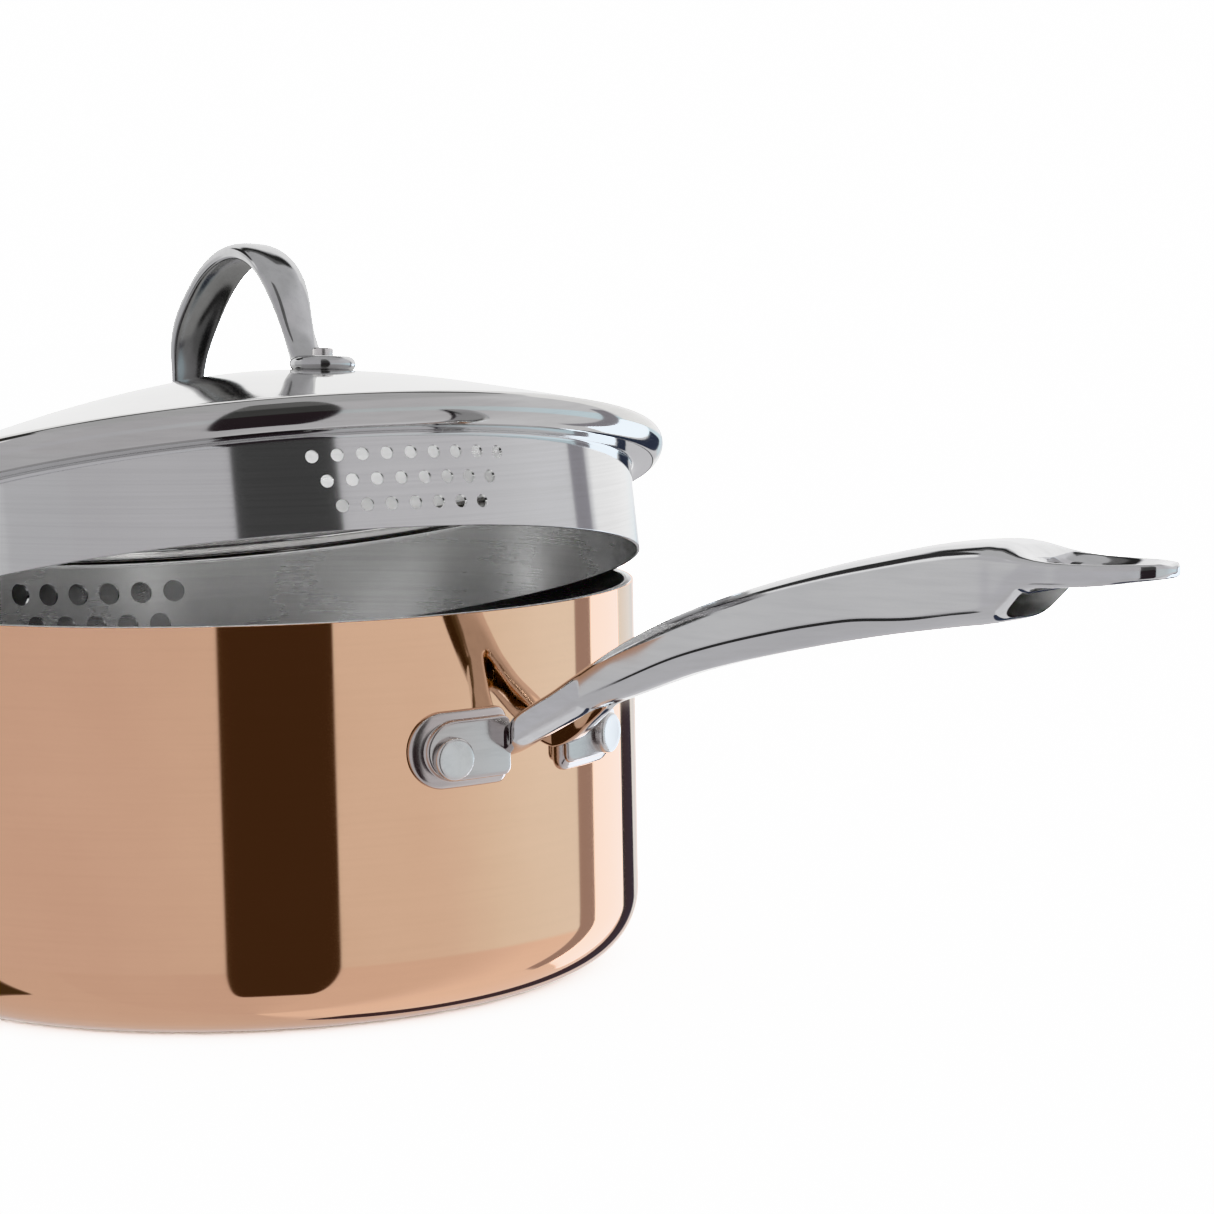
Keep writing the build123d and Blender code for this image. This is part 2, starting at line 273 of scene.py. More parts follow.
# ---- materials ---------------------------------------------------------------
class Nodes:
    """Short way to write a node tree."""

    def __init__(self, tree):
        self.tree = tree
        tree.nodes.clear()

    def add(self, kind, **values):
        node = self.tree.nodes.new(kind)
        for key, value in values.items():
            setattr(node, key, value)
        return node

    def link(self, a, b):
        self.tree.links.new(a, b)

    def math(self, operation, a, b=None, clamp=False):
        node = self.add("ShaderNodeMath", operation=operation, use_clamp=clamp)
        for socket, value in zip(node.inputs, (a, b)):
            if value is None:
                continue
            if isinstance(value, (int, float)):
                socket.default_value = value
            else:
                self.link(value, socket)
        return node.outputs[0]

    def step(self, value, low, high, out_low=0.0, out_high=1.0):
        node = self.add("ShaderNodeMapRange", interpolation_type="SMOOTHSTEP")
        self.link(value, node.inputs["Value"])
        node.inputs["From Min"].default_value = low
        node.inputs["From Max"].default_value = high
        node.inputs["To Min"].default_value = out_low
        node.inputs["To Max"].default_value = out_high
        return node.outputs[0]

    def noise(self, vector, scale, detail=3.0, roughness=0.5):
        node = self.add("ShaderNodeTexNoise")
        self.link(vector, node.inputs["Vector"])
        node.inputs["Scale"].default_value = scale
        node.inputs["Detail"].default_value = detail
        node.inputs["Roughness"].default_value = roughness
        return node.outputs["Fac"]

    def stretch(self, vector, scale, rotation=(0, 0, 0)):
        node = self.add("ShaderNodeMapping")
        self.link(vector, node.inputs["Vector"])
        node.inputs["Scale"].default_value = scale
        node.inputs["Rotation"].default_value = rotation
        return node.outputs[0]

    def mix(self, factor, a, b):
        node = self.add("ShaderNodeMix", data_type="RGBA")
        for socket, value in ((node.inputs[0], factor), (node.inputs[6], a), (node.inputs[7], b)):
            if isinstance(value, (int, float)):
                socket.default_value = value
            elif isinstance(value, tuple):
                socket.default_value = (*value, 1.0)
            else:
                self.link(value, socket)
        return node.outputs[2]


CLOUD_SCALE = 22.0                  # broad patches of the metal's colour
HAIR_STRETCH = (900.0, 900.0, 35.0)  # hairline scratches, long in one direction
HAIR_TURN = (0.6, 0.35, 0.9)
HAIR_FROM, HAIR_TO = 0.66, 0.74     # share of the noise that becomes a scratch
STREAK_DARK = 0.9                   # colour of the drawing lines, against the tint


def metal(
    name,
    colour,
    tint,
    rough=(0.05, 0.12),
    grain=(40.0, 40.0, 1500.0),
    grain_turn=(0, 0, 0),
    grain_depth=0.02,
    wave_depth=0.0,
    wave_scale=18.0,
    scratches=0.3,
    streak=0.5,
    metallic=1.0,
):
    """Polished or drawn metal: cloudy colour, drawing lines, hairline scratches, soft waves."""
    material = bpy.data.materials.new(name)
    material.use_nodes = True
    n = Nodes(material.node_tree)
    output = n.add("ShaderNodeOutputMaterial")
    shader = n.add("ShaderNodeBsdfPrincipled")
    n.link(shader.outputs[0], output.inputs["Surface"])
    shader.inputs["Metallic"].default_value = metallic
    place = n.add("ShaderNodeTexCoord").outputs["Object"]
    cloud = n.noise(place, CLOUD_SCALE, 4.0, 0.55)
    lines = n.noise(n.stretch(place, grain, grain_turn), 1.0, 4.0, 0.6)
    hair_place = n.stretch(place, HAIR_STRETCH, HAIR_TURN)
    hair = n.step(n.noise(hair_place, 1.0, 2.0, 0.4), HAIR_FROM, HAIR_TO)
    cloud_step = n.step(cloud, 0.3, 0.7)
    base = n.mix(cloud_step, colour, tint)
    darker = tuple(STREAK_DARK * c for c in tint)
    base = n.mix(n.math("MULTIPLY", n.step(lines, 0.35, 0.75), streak), base, darker)
    n.link(base, shader.inputs["Base Color"])
    level = n.math("ADD", n.math("MULTIPLY", cloud_step, 0.5), n.math("MULTIPLY", lines, 0.5))
    level = n.math("ADD", level, n.math("MULTIPLY", hair, scratches), clamp=True)
    spread = n.math("MULTIPLY", level, rough[1] - rough[0])
    n.link(n.math("ADD", spread, rough[0]), shader.inputs["Roughness"])
    fine = n.add("ShaderNodeBump")
    fine.inputs["Strength"].default_value = 1.0
    fine.inputs["Distance"].default_value = grain_depth * MM
    height = n.math("SUBTRACT", lines, n.math("MULTIPLY", hair, scratches))
    n.link(height, fine.inputs["Height"])
    normal = fine.outputs[0]
    if wave_depth:
        waves = n.noise(place, wave_scale, 1.5, 0.4)
        broad = n.add("ShaderNodeBump")
        broad.inputs["Strength"].default_value = 1.0
        broad.inputs["Distance"].default_value = wave_depth * MM
        n.link(waves, broad.inputs["Height"])
        n.link(normal, broad.inputs["Normal"])
        normal = broad.outputs[0]
    n.link(normal, shader.inputs["Normal"])
    return material


# drawing lines that run round the tilted lid
lid_grain = tuple(LID_PLACE.inverted().to_euler())
copper = metal(
    "copper_polished", (0.93, 0.583, 0.397), (0.90, 0.558, 0.377), rough=(0.03, 0.07),
    grain=(25.0, 25.0, 900.0), grain_depth=0.0002, wave_depth=0.05, wave_scale=14.0,
    scratches=0.25, streak=0.12,
)
handle_steel = metal(
    "handle_steel", (0.70, 0.70, 0.70), (0.66, 0.66, 0.665), rough=(0.06, 0.12),
    grain=(30.0, 500.0, 500.0), grain_depth=0.0003, wave_depth=0.03, wave_scale=60.0,
    scratches=0.3,
)
dome_steel = metal(
    "lid_dome_steel", (0.645, 0.64, 0.63), (0.605, 0.60, 0.592), rough=(0.04, 0.10),
    grain=(60.0, 60.0, 900.0), grain_turn=lid_grain, grain_depth=0.0005,
    wave_depth=0.03, wave_scale=20.0, scratches=0.25,
)
collar_steel = metal(
    "collar_steel", (0.70, 0.70, 0.70), (0.66, 0.66, 0.66), rough=(0.05, 0.11),
    grain=(10.0, 10.0, 1300.0), grain_turn=lid_grain, grain_depth=0.0007,
    wave_depth=0.02, wave_scale=20.0, scratches=0.3,
)
collar_drawn = metal(
    "collar_inside_drawn", (0.50, 0.50, 0.50), (0.46, 0.46, 0.46), rough=(0.22, 0.32),
    grain=(10.0, 10.0, 1300.0), grain_turn=lid_grain, grain_depth=0.0003, scratches=0.0,
)
dome_inside = metal(
    "lid_dome_inside", (0.80, 0.80, 0.80), (0.76, 0.76, 0.76), rough=(0.24, 0.34),
    grain=(60.0, 60.0, 900.0), grain_turn=lid_grain, grain_depth=0.0003, scratches=0.0,
    metallic=0.85,
)
pad_steel = metal(
    "handle_pad_satin", (0.65, 0.605, 0.59), (0.605, 0.565, 0.55), rough=(0.17, 0.25),
    grain=(60.0, 60.0, 700.0), grain_depth=0.001, scratches=0.3,
)
hollow_cast = metal(
    "handle_hollow_cast", (0.46, 0.46, 0.46), (0.38, 0.38, 0.38), rough=(0.45, 0.6),
    grain=(200.0, 300.0, 300.0), grain_depth=0.01, scratches=0.2, metallic=0.8,
)
bow_steel = metal(
    "bow_steel", (0.60, 0.60, 0.60), (0.54, 0.54, 0.545), rough=(0.07, 0.14),
    grain=(300.0, 300.0, 300.0), grain_depth=0.0003, wave_depth=0.03, wave_scale=60.0,
    scratches=0.3,
)
bow_inside = metal(
    "bow_inside_cast", (0.34, 0.34, 0.34), (0.27, 0.27, 0.27), rough=(0.14, 0.24),
    grain=(200.0, 200.0, 200.0), grain_depth=0.002, scratches=0.2,
)
# the liner's steel gets a darker grey than the other steel: painted shade for the pan's shadowed
# inside
liner_steel = metal(
    "liner_steel", (0.48, 0.48, 0.48), (0.42, 0.42, 0.42), rough=(0.2, 0.32),
    grain=(15.0, 15.0, 1400.0), grain_depth=0.0003, scratches=0.0,
)
rivet_steel = metal(
    "rivet_steel", (0.77, 0.755, 0.745), (0.69, 0.675, 0.665), rough=(0.22, 0.34),
    grain=(300.0, 300.0, 300.0), grain_depth=0.006, scratches=0.4,
)
core_aluminium = metal(
    "core_aluminium", (0.80, 0.80, 0.81), (0.74, 0.74, 0.75), rough=(0.3, 0.4),
    grain=(300.0, 300.0, 1400.0), grain_depth=0.004, scratches=0.3,
)


def finish_piece(obj, materials, body, slot_name, *nodes):
    """Gives the piece its materials, kept face by face, and ties it to its CAD nodes."""
    mesh = obj.data
    index = [poly.material_index for poly in mesh.polygons]
    mesh.materials.clear()
    for material in materials:
        mesh.materials.append(material)
    mesh.polygons.foreach_set("material_index", [min(i, len(materials) - 1) for i in index])
    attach(obj, body)
    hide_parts(*nodes)
    low = np.min([v.co for v in obj.data.vertices], axis=0)
    high = np.max([v.co for v in obj.data.vertices], axis=0)
    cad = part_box(nodes[0])
    print("PIECE", obj.name, np.round(low / MM, 1), np.round(high / MM, 1), cad)
    return obj


# ---- pan ---------------------------------------------------------------------
BASE_INNER_RING = 12.0      # rings of points on the base run from here to near the corner
WALL_MARGIN = 4.0           # and rings on the wall start this far above the corner
RIM_BEVEL = 0.12
PAN_SEGMENTS = 400


def layer_profile(outer, thickness):
    """Closed outline of one layer of the pan, whose outside lies at depth outer."""
    radius = PAN_RADIUS - outer
    inner_radius = radius - thickness
    corner = BASE_CORNER - outer
    centre = (PAN_RADIUS - BASE_CORNER, BASE_CORNER)
    rim = min(RIM_BEVEL, thickness / 4)
    base = np.linspace(BASE_INNER_RING, centre[0] - 3, 8)
    wall = np.linspace(BASE_CORNER + WALL_MARGIN, PAN_HEIGHT - rim, 12)
    out = [(0, outer)]
    out += [(r, outer) for r in base]
    out += arc(centre, corner, -90, 0, 26)
    out += [(radius, z) for z in wall]
    out += [(radius - rim, PAN_HEIGHT), (inner_radius + rim, PAN_HEIGHT)]
    out += [(inner_radius, z) for z in wall[::-1]]
    out += arc(centre, corner - thickness, 0, -90, 26)
    out += [(r, outer + thickness) for r in base[::-1]]
    out += [(0, outer + thickness)]
    return out


def pan_layers():
    """The pan's three bonded layers, from the outside in."""
    layers = (
        ("pan_copper", COPPER, copper, "copper", "pan_copper_shell"),
        ("pan_core", CORE, core_aluminium, "aluminium_core", "pan_aluminium_core"),
        ("pan_liner", LINER, liner_steel, "liner_steel", "pan_steel_liner"),
    )
    depth = 0.0
    for name, thickness, material, slot_name, node in layers:
        points, faces = lathe(layer_profile(depth, thickness), PAN_SEGMENTS)
        layer = make_object(name, points, faces, sharp=30)
        finish_piece(layer, (material,), "pan", slot_name, node)
        depth += thickness


pan_layers()


# ---- long handle ---------------------------------------------------------------
ARM_START = 98.0            # where the arms begin, beside the pads
STEM_START = 126.5          # where the two arms have become one stem
HOLE_START, HOLE_END, HOLE_HALF = 254.5, 279.4, 7.3
LOOP_MIDDLE = 262.0
TIP, TIP_HALF = 284.6, 11.6
TIP_NOSE = 1.9              # length over which the loop's end rounds off
DRAIN_AT, DRAIN_RADIUS = 128.6, 1.6
DRAIN_FROM, DRAIN_TO = 70.0, 81.5
HANDLE_SHARP = 38

# distance along the handle, outer side, top, underside
HANDLE_LINE = table([
    (98.0, 12.4, 70.2, 63.0),
    (103.6, 12.3, 71.6, 64.0),
    (106.4, 12.8, 73.0, 64.9),
    (109.6, 14.3, 75.3, 66.4),
    (113.0, 13.2, 77.7, 68.4),
    (118.0, 11.1, 81.0, 71.4),
    (122.0, 9.8, 83.9, 73.8),
    (126.5, 8.8, 86.9, 76.5),
    (136.0, 8.7, 92.6, 79.8),
    (158.0, 9.8, 102.2, 87.2),
    (186.0, 11.0, 110.9, 94.0),
    (214.0, 11.8, 117.6, 99.4),
    (234.0, 12.1, 121.1, 102.5),
    (243.0, 12.1, 121.7, 103.8),
    (247.0, 12.0, 121.4, 105.0),
    (249.8, 11.95, 120.8, 107.5),
    (253.4, 11.85, 119.8, 111.3),
    (257.0, 11.7, 119.1, 112.4),
    (262.0, 11.6, 118.7, 112.8),
    (270.0, 11.6, 118.6, 113.4),
    (277.0, 11.6, 118.7, 114.2),
    (284.6, 11.6, 118.6, 115.2),
])
# distance, half-width of the gap between the arms, how open the gap's edges are
FORK_GAP = table([
    (98.0, 7.6, 1.0),
    (103.6, 7.4, 1.0),
    (110.0, 6.6, 1.0),
    (118.0, 4.0, 1.0),
    (122.5, 2.5, 1.0),
    (125.0, 1.5, 0.8),
    (126.1, 0.8, 0.4),
    (126.5, 0.0, 0.0),
])
# distance, height of the lower ridge as a share of the section's height
LOWER_RIDGE = table([
    (98.0, 0.24),
    (126.5, 0.27),
    (162.0, 0.31),
    (185.0, 0.30),
    (207.0, 0.27),
    (228.0, 0.18),
    (240.0, 0.19),
    (284.6, 0.19),
])
# distance, where the outer part of the section starts, depth of the dish round the hole
SECTION_START = table([
    (98.0, 7.6, 0.0),
    (103.6, 7.4, 0.0),
    (110.0, 6.6, 0.0),
    (118.0, 4.0, 0.0),
    (126.5, 1.5, 0.0),
    (134.0, 0.3, 0.0),
    (142.0, 0.0, 0.0),
    (249.0, 0.0, 0.0),
    (252.0, 1.2, 0.5),
    (256.0, 5.2, 1.7),
    (262.0, 7.3, 2.2),
    (270.0, 7.0, 2.2),
    (275.0, 5.3, 2.1),
    (279.4, 1.6, 1.6),
    (284.6, 0.0, 0.0),
])
# distance, half-width, top and underside of the hollow, which opens as the mouth under the end
HOLLOW_LINE = table([
    (124.0, 5.2, 83.4, 78.6),
    (136.0, 6.4, 90.8, 82.4),
    (158.0, 7.6, 100.1, 89.7),
    (186.0, 8.8, 108.5, 96.6),
    (214.0, 9.5, 114.9, 101.9),
    (236.0, 9.7, 118.2, 105.2),
    (247.0, 9.5, 117.8, 105.3),
    (253.0, 9.0, 116.2, 105.4),
])


def oval(share, power):
    """Half-width of an oval, 1 at share 0 and 0 at share 1."""
    return max(0.0, 1 - min(1.0, max(0.0, share)) ** power) ** (1 / power)


def handle_inner(x):
    """Half-width of the gap or hole at distance x, and how open its edges are."""
    if x < STEM_START:
        return tuple(FORK_GAP(x))
    if HOLE_START < x < HOLE_END:
        end = HOLE_START if x < LOOP_MIDDLE else HOLE_END
        gap = HOLE_HALF * oval((x - LOOP_MIDDLE) / (end - LOOP_MIDDLE), 2.0)
        return gap, min(1.0, gap / 2.5)
    return 0.0, 0.0


def between(closed, opened, share):
    """Points that move from closed to opened as share goes from 0 to 1."""
    return [tuple(np.array(a) * (1 - share) + np.array(b) * share) for a, b in zip(closed, opened)]


def handle_control(x):
    """Control points of the half section at distance x, from inner top round to inner bottom."""
    outside, top, bottom = HANDLE_LINE(x)
    if x > LOOP_MIDDLE:
        outside = TIP_HALF * oval((x - LOOP_MIDDLE) / (TIP - LOOP_MIDDLE), 2.1)
    if x > TIP - TIP_NOSE:
        share = oval((x - TIP + TIP_NOSE) / TIP_NOSE, 2.0)
        middle = (top + bottom) / 2
        top = middle + (top - middle) * share
        bottom = middle + (bottom - middle) * share
    inside, openness = handle_inner(x)
    outside = max(outside, inside + 0.02)
    start, dish = SECTION_START(x)
    start = min(start, outside - 0.02)
    ridge = LOWER_RIDGE(x)[0]
    height = top - bottom
    dish = min(dish, 0.5 * height)
    inner_top = top - dish
    inner_height = inner_top - bottom
    width, outer_width = outside - inside, outside - start
    upper = between(
        [(inside, inner_top)] * 3,
        [
            (inside, inner_top - 0.42 * inner_height),
            (inside, inner_top - 0.06 * inner_height),
            (inside + 0.16 * width, inner_top),
        ],
        openness,
    )
    outer = [
        (start + 0.42 * outer_width, top - 0.55 * dish),
        (start + 0.72 * outer_width, top - 0.035 * height - 0.05 * dish),
        (start + 0.94 * outer_width, top - 0.12 * height),
        (outside, top - 0.30 * height),
        (outside, top - 0.55 * height),
        (outside - 0.01 * outer_width, bottom + (ridge + 0.05) * height),
        (outside - 0.02 * outer_width, bottom + (ridge - 0.03) * height),
        (outside - 0.13 * outer_width, bottom + (ridge - 0.10) * height),
        (start + 0.60 * outer_width, bottom + 0.15 * (ridge - 0.14) * height),
        (start + 0.36 * outer_width, bottom),
    ]
    lower = between(
        [(inside, bottom)] * 3,
        [
            (inside + 0.16 * width, bottom),
            (inside, bottom + 0.06 * inner_height),
            (inside, bottom + 0.42 * inner_height),
        ],
        openness,
    )
    return upper + outer + lower


def handle_stations():
    """Distances of the handle's sections, closer together where its shape turns quickly."""
    fork = list(np.linspace(ARM_START, 121, 24)) + list(np.linspace(121.5, 126.1, 14))
    fork += [126.3, 126.4, STEM_START, 126.6, 127.2, 128, 129]
    stem = list(np.linspace(130, 240, 90)) + list(np.linspace(240.7, 254.4, 24))
    turn_in = 1 - np.cos(np.linspace(0, math.pi / 2, 18))
    turn_out = np.sin(np.linspace(0, math.pi / 2, 40))
    loop = list(HOLE_START + (LOOP_MIDDLE - HOLE_START) * turn_in)
    loop += list(HOLE_END - (HOLE_END - LOOP_MIDDLE) * turn_in[::-1])
    loop += [x for x in LOOP_MIDDLE + (TIP - LOOP_MIDDLE) * turn_out if x > HOLE_END + 0.05]
    loop += [HOLE_START + 0.02, HOLE_END - 0.02, TIP - 0.02]
    return sorted(set(round(min(x, TIP - 0.003), 4) for x in fork + stem + loop))


def handle_body():
    """Fork, stem and loop: two mirrored halves that share their middle plane."""
    xs = handle_stations()
    sections = bspline_closed(np.array([handle_control(x) for x in xs]), 7)
    rows, cols = sections.shape[:2]
    points, faces = [], []
    for side in (1, -1):
        start = len(points)
        for x, section in zip(xs, sections):
            for y, z in section:
                points.append((x, side * (0.0 if abs(y) < 1e-7 else y), z))
        for face in tube_faces(rows, cols, start):
            if any(abs(points[k][1]) >= 1e-6 for k in face):
                faces.append(face)
    return make_object("handle_body_raw", points, faces, sharp=HANDLE_SHARP, merge=0.004)


def hollow_section(x):
    """Rounded section of the hollow at distance x."""
    half, top, bottom = HOLLOW_LINE(x)
    middle = (top + bottom) / 2
    control = [
        (-half, bottom), (0, bottom), (half, bottom), (half, middle),
        (half, top), (0, top), (-half, top), (-half, middle),
    ]
    curve = bspline_closed(np.array(control, float), 6)
    curve[:, 0] *= half / max(abs(curve[:, 0]))
    low, high = curve[:, 1].min(), curve[:, 1].max()
    curve[:, 1] = bottom + (curve[:, 1] - low) * (top - bottom) / (high - low)
    return curve


def handle_hollow():
    """Cutter for the hollow, whose faces carry the rough cast material."""
    xs = list(np.linspace(124, 236, 40)) + list(np.linspace(237, 253.0, 14))
    sections = [hollow_section(x) for x in xs]
    points = [(x, y, z) for x, section in zip(xs, sections) for y, z in section]
    hollow = make_object("hollow", points, tube_faces(len(xs), len(sections[0])))
    hollow.data.polygons.foreach_set("material_index", [1] * len(hollow.data.polygons))
    return hollow


def handle_drain():
    """Cutter for the small hole under the fork's throat."""
    profile = [(0, DRAIN_FROM), (DRAIN_RADIUS, DRAIN_FROM), (DRAIN_RADIUS, DRAIN_TO), (0, DRAIN_TO)]
    points, faces = lathe(profile, 24, closed=False)
    place = Matrix.Translation(Vector((DRAIN_AT, 0, 0)))
    return make_object("drain", points, faces, place, merge=0.01)


PAD_THICK = 3.4
PAD_INNER, PAD_OUTER = 9.4, 36.8    # arc lengths of the pad's two ends from the handle's plane
PAD_HALF = 9.3
PAD_CORNER = 2.6
PAD_HEIGHT = 67.0
PAD_MIDDLE = np.array([22.0, 0.0])  # the rings of the pad's edge shrink about this point
PAD_REACH = np.array([13.8, 9.3])
NECK_SHIFT = np.array([-1.5, 0.0])  # and the face leans toward the neck
FACE_RADIUS = PAN_RADIUS + PAD_THICK


def pad_outline(count):
    """Pad outline as (arc length, height): squared inner end, round outer end."""
    low, high = PAD_CORNER - PAD_HALF, PAD_HALF - PAD_CORNER
    line = arc((PAD_INNER + PAD_CORNER, low), PAD_CORNER, -180, -90, 7)
    line += arc((PAD_OUTER - PAD_HALF, 0), PAD_HALF, -90, 90, 40)
    line += arc((PAD_INNER + PAD_CORNER, high), PAD_CORNER, 90, 180, 7)
    line = np.array(line + [line[0]])
    length = np.concatenate([[0], np.cumsum(np.linalg.norm(np.diff(line, axis=0), axis=1))])
    at = np.linspace(0, length[-1], count, endpoint=False)
    return np.column_stack([np.interp(at, length, line[:, k]) for k in (0, 1)])


def handle_pad(side):
    """One wing pad, bent round the wall, with a step along its edge."""
    outline = pad_outline(120)
    # inset from the outline, rise from the wall, share of the shift toward the neck
    rings = [
        (0.0, -0.05, 0.0), (0.0, 0.5, 0.0), (0.12, 0.95, 0.0), (0.4, 1.3, 0.1), (0.9, 1.6, 0.3),
        (1.4, 1.85, 0.6), (1.8, 2.0, 0.8), (1.95, 2.15, 0.9), (2.02, 2.6, 1.0),
        (2.1, 3.05, 1.0), (2.3, 3.3, 1.0),
    ]
    rings += [(inset, PAD_THICK, 1.0) for inset in (2.7, 3.4, 4.5, 6.0, 7.6, 8.9)]
    points = []
    for inset, rise, shift in rings:
        scale = 1 - inset / PAD_REACH
        radius = PAN_RADIUS + rise
        for along, z in PAD_MIDDLE + (outline - PAD_MIDDLE) * scale + NECK_SHIFT * shift:
            angle = side * along / PAN_RADIUS
            points.append((radius * math.cos(angle), radius * math.sin(angle), PAD_HEIGHT + z))
    pad = make_object(f"pad{side}", points, tube_faces(len(rings), len(outline)), sharp=50)
    pad.data.polygons.foreach_set("material_index", [2] * len(pad.data.polygons))
    return pad


def long_handle():
    """The whole casting: hollowed body with its drain hole, and the two pads."""
    body = handle_body()
    hollow = handle_hollow()
    for half_made in (body, hollow):
        half_made.data.materials.append(handle_steel)
        half_made.data.materials.append(hollow_cast)
    body = cut(body, hollow, HANDLE_SHARP)
    body = cut(body, handle_drain(), HANDLE_SHARP)
    handle = joined("long_handle_steel", [body, handle_pad(-1), handle_pad(1)])
    materials = (handle_steel, hollow_cast, pad_steel)
    finish_piece(handle, materials, "pan", "handle_steel", "long_handle")


long_handle()


# ---- handle rivets -------------------------------------------------------------
RIVET_AZIMUTH = 14.9
RIVET_HEIGHT = 65.3
RIVET_RISE = 2.0            # head above the pad's face
RIVET_HEAD, RIVET_SHANK, RIVET_BUTTON = 5.2, 3.0, 5.7


def handle_rivet(name, side, node):
    """Flat head with a soft edge outside, a shank, and a button head inside the pan."""
    top = FACE_RADIUS + RIVET_RISE
    profile = [(0, top - 0.1), (2.0, top - 0.08), (3.6, top - 0.03), (4.4, top), (4.75, top - 0.08)]
    profile += [(5.0, top - 0.3), (5.15, top - 0.7), (RIVET_HEAD, top - 1.1)]
    profile += [(RIVET_HEAD, FACE_RADIUS - 0.4), (RIVET_SHANK, FACE_RADIUS - 0.6)]
    profile += [(RIVET_SHANK, PAN_BORE + 0.1), (RIVET_BUTTON, PAN_BORE + 0.1)]
    profile += [(RIVET_BUTTON, PAN_BORE - 0.3), (5.3, PAN_BORE - 0.9), (4.2, PAN_BORE - 1.4)]
    profile += [(2.4, PAN_BORE - 1.6), (0, PAN_BORE - 1.6)]
    points, faces = lathe(profile, 72, closed=False)
    place = Matrix.Translation(Vector((0, 0, RIVET_HEIGHT))) @ turn(side * RIVET_AZIMUTH, "Z")
    place = place @ turn(90, "Y")
    rivet = make_object(name, points, faces, place, sharp=50, merge=0.01)
    finish_piece(rivet, (rivet_steel,), "pan", "rivet_steel", node)


handle_rivet("rivet_near", -1, "handle_rivet_right")
handle_rivet("rivet_far", 1, "handle_rivet_left")


# ---- lid -----------------------------------------------------------------------
SHEET = 0.8
LIP_SLOPE = (1, -0.335)     # slope of the dome where the lip starts
LIP_END = (103.4, 22.6)
DOME_LINE = [
    (0, 55.4), (20.5, 53.7), (41.0, 49.6), (61.5, 44.4), (82.0, 38.1), (102.5, 31.4),
]
COLLAR = 97.5
FLANGE_LOW, FLANGE_EDGE = 22.6, 103.2
FLANGE_TOP = FLANGE_LOW + SHEET
# height, count, azimuth of the first hole, step, diameter, sides of the drill
HOLE_ROWS = [
    (17.65, 9, -34.2, 3.52, 3.1, 24),
    (11.70, 8, -34.2 + 1.76, 3.52, 3.1, 24),
    (5.75, 7, -34.2 + 3.52, 3.52, 3.1, 24),
    (14.75, 6, 181.7, -5.72, 6.2, 36),
    (5.60, 5, 181.7 - 2.86, -5.72, 6.2, 36),
]


def mark_inside(obj, reach, facing_limit):
    """Second material on the faces of a lid piece that look at the pan or at the lid's axis."""
    back = LID_PLACE.inverted()
    axes = LID_PLACE.to_3x3().transposed()
    for poly in obj.data.polygons:
        centre = back @ (poly.center / MM)
        facing = axes @ poly.normal
        radius = max(math.hypot(centre.x, centre.y), AXIS_RADIUS)
        outward = (centre.x * facing.x + centre.y * facing.y) / radius
        inside = outward < facing_limit or facing.z < facing_limit
        poly.material_index = 1 if inside and radius < reach else 0


def dome_outline():
    """Outer line of the dome and its rolled lip, and the inner line a sheet below it."""
    top = spline(DOME_LINE, [(1, 0), LIP_SLOPE], 26)
    lip = spline(
        [top[-1], (105.6, 30.0), (106.6, 27.3), (105.6, 24.3), LIP_END],
        [LIP_SLOPE, (-1, -0.25)], 12,
    )
    outer = top + lip[1:]
    pts = np.array(outer)
    step = np.gradient(pts, axis=0)
    step /= np.linalg.norm(step, axis=1)[:, None]
    inner = np.column_stack([pts[:, 0] + SHEET * step[:, 1], pts[:, 1] - SHEET * step[:, 0]])
    inner[0] = (0, pts[0, 1] - SHEET)
    return outer, inner[inner[:, 1] > 22.0]


def lid_dome():
    """Domed sheet, polished outside and satin inside."""
    outer, inner = dome_outline()
    outline = list(outer) + [tuple(p) for p in inner[::-1]]
    points, faces = lathe(outline, 420, closed=False)
    dome = make_object("lid_dome_sheet", points, faces, LID_PLACE, sharp=40, merge=0.004)
    mark_inside(dome, 101.5, -0.4)
    finish_piece(dome, (dome_steel, dome_inside), "lid", "lid_steel", "lid_dome")


def collar_drills():
    """One cutter with a round bar for every hole of the strainer."""
    points, faces = [], []
    for height, count, first, pitch, diameter, sides in HOLE_ROWS:
        for k in range(count):
            angle = math.radians(first + k * pitch)
            along = np.array([math.cos(angle), math.sin(angle), 0])
            across = np.array([-math.sin(angle), math.cos(angle), 0])
            start = len(points)
            for reach in (COLLAR - 4, COLLAR + 3):
                for j in range(sides):
                    t = 2 * math.pi * j / sides
                    p = along * reach + across * (diameter / 2 * math.cos(t))
                    points.append((p[0], p[1], height + diameter / 2 * math.sin(t)))
            faces += tube_faces(2, sides, start)
    return make_object("drills", points, faces, LID_PLACE)


def round_normals(obj, place):
    """Gives the collar's two walls the exact normals of their cylinders."""
    mesh = obj.data
    back = place.inverted()
    axis_turn = place.to_3x3()
    normals = [c.vector.copy() for c in mesh.corner_normals]
    for poly in mesh.polygons:
        local = axis_turn.transposed() @ poly.normal
        if abs(local.z) > 0.05:
            continue
        for loop in poly.loop_indices:
            v = back @ (mesh.vertices[mesh.loops[loop].vertex_index].co / MM)
            out = Vector((v.x, v.y, 0)).normalized()
            if local.dot(out) > 0.995:
                normals[loop] = axis_turn @ out
            elif local.dot(out) < -0.995:
                normals[loop] = axis_turn @ -out
    mesh.normals_split_custom_set(normals)


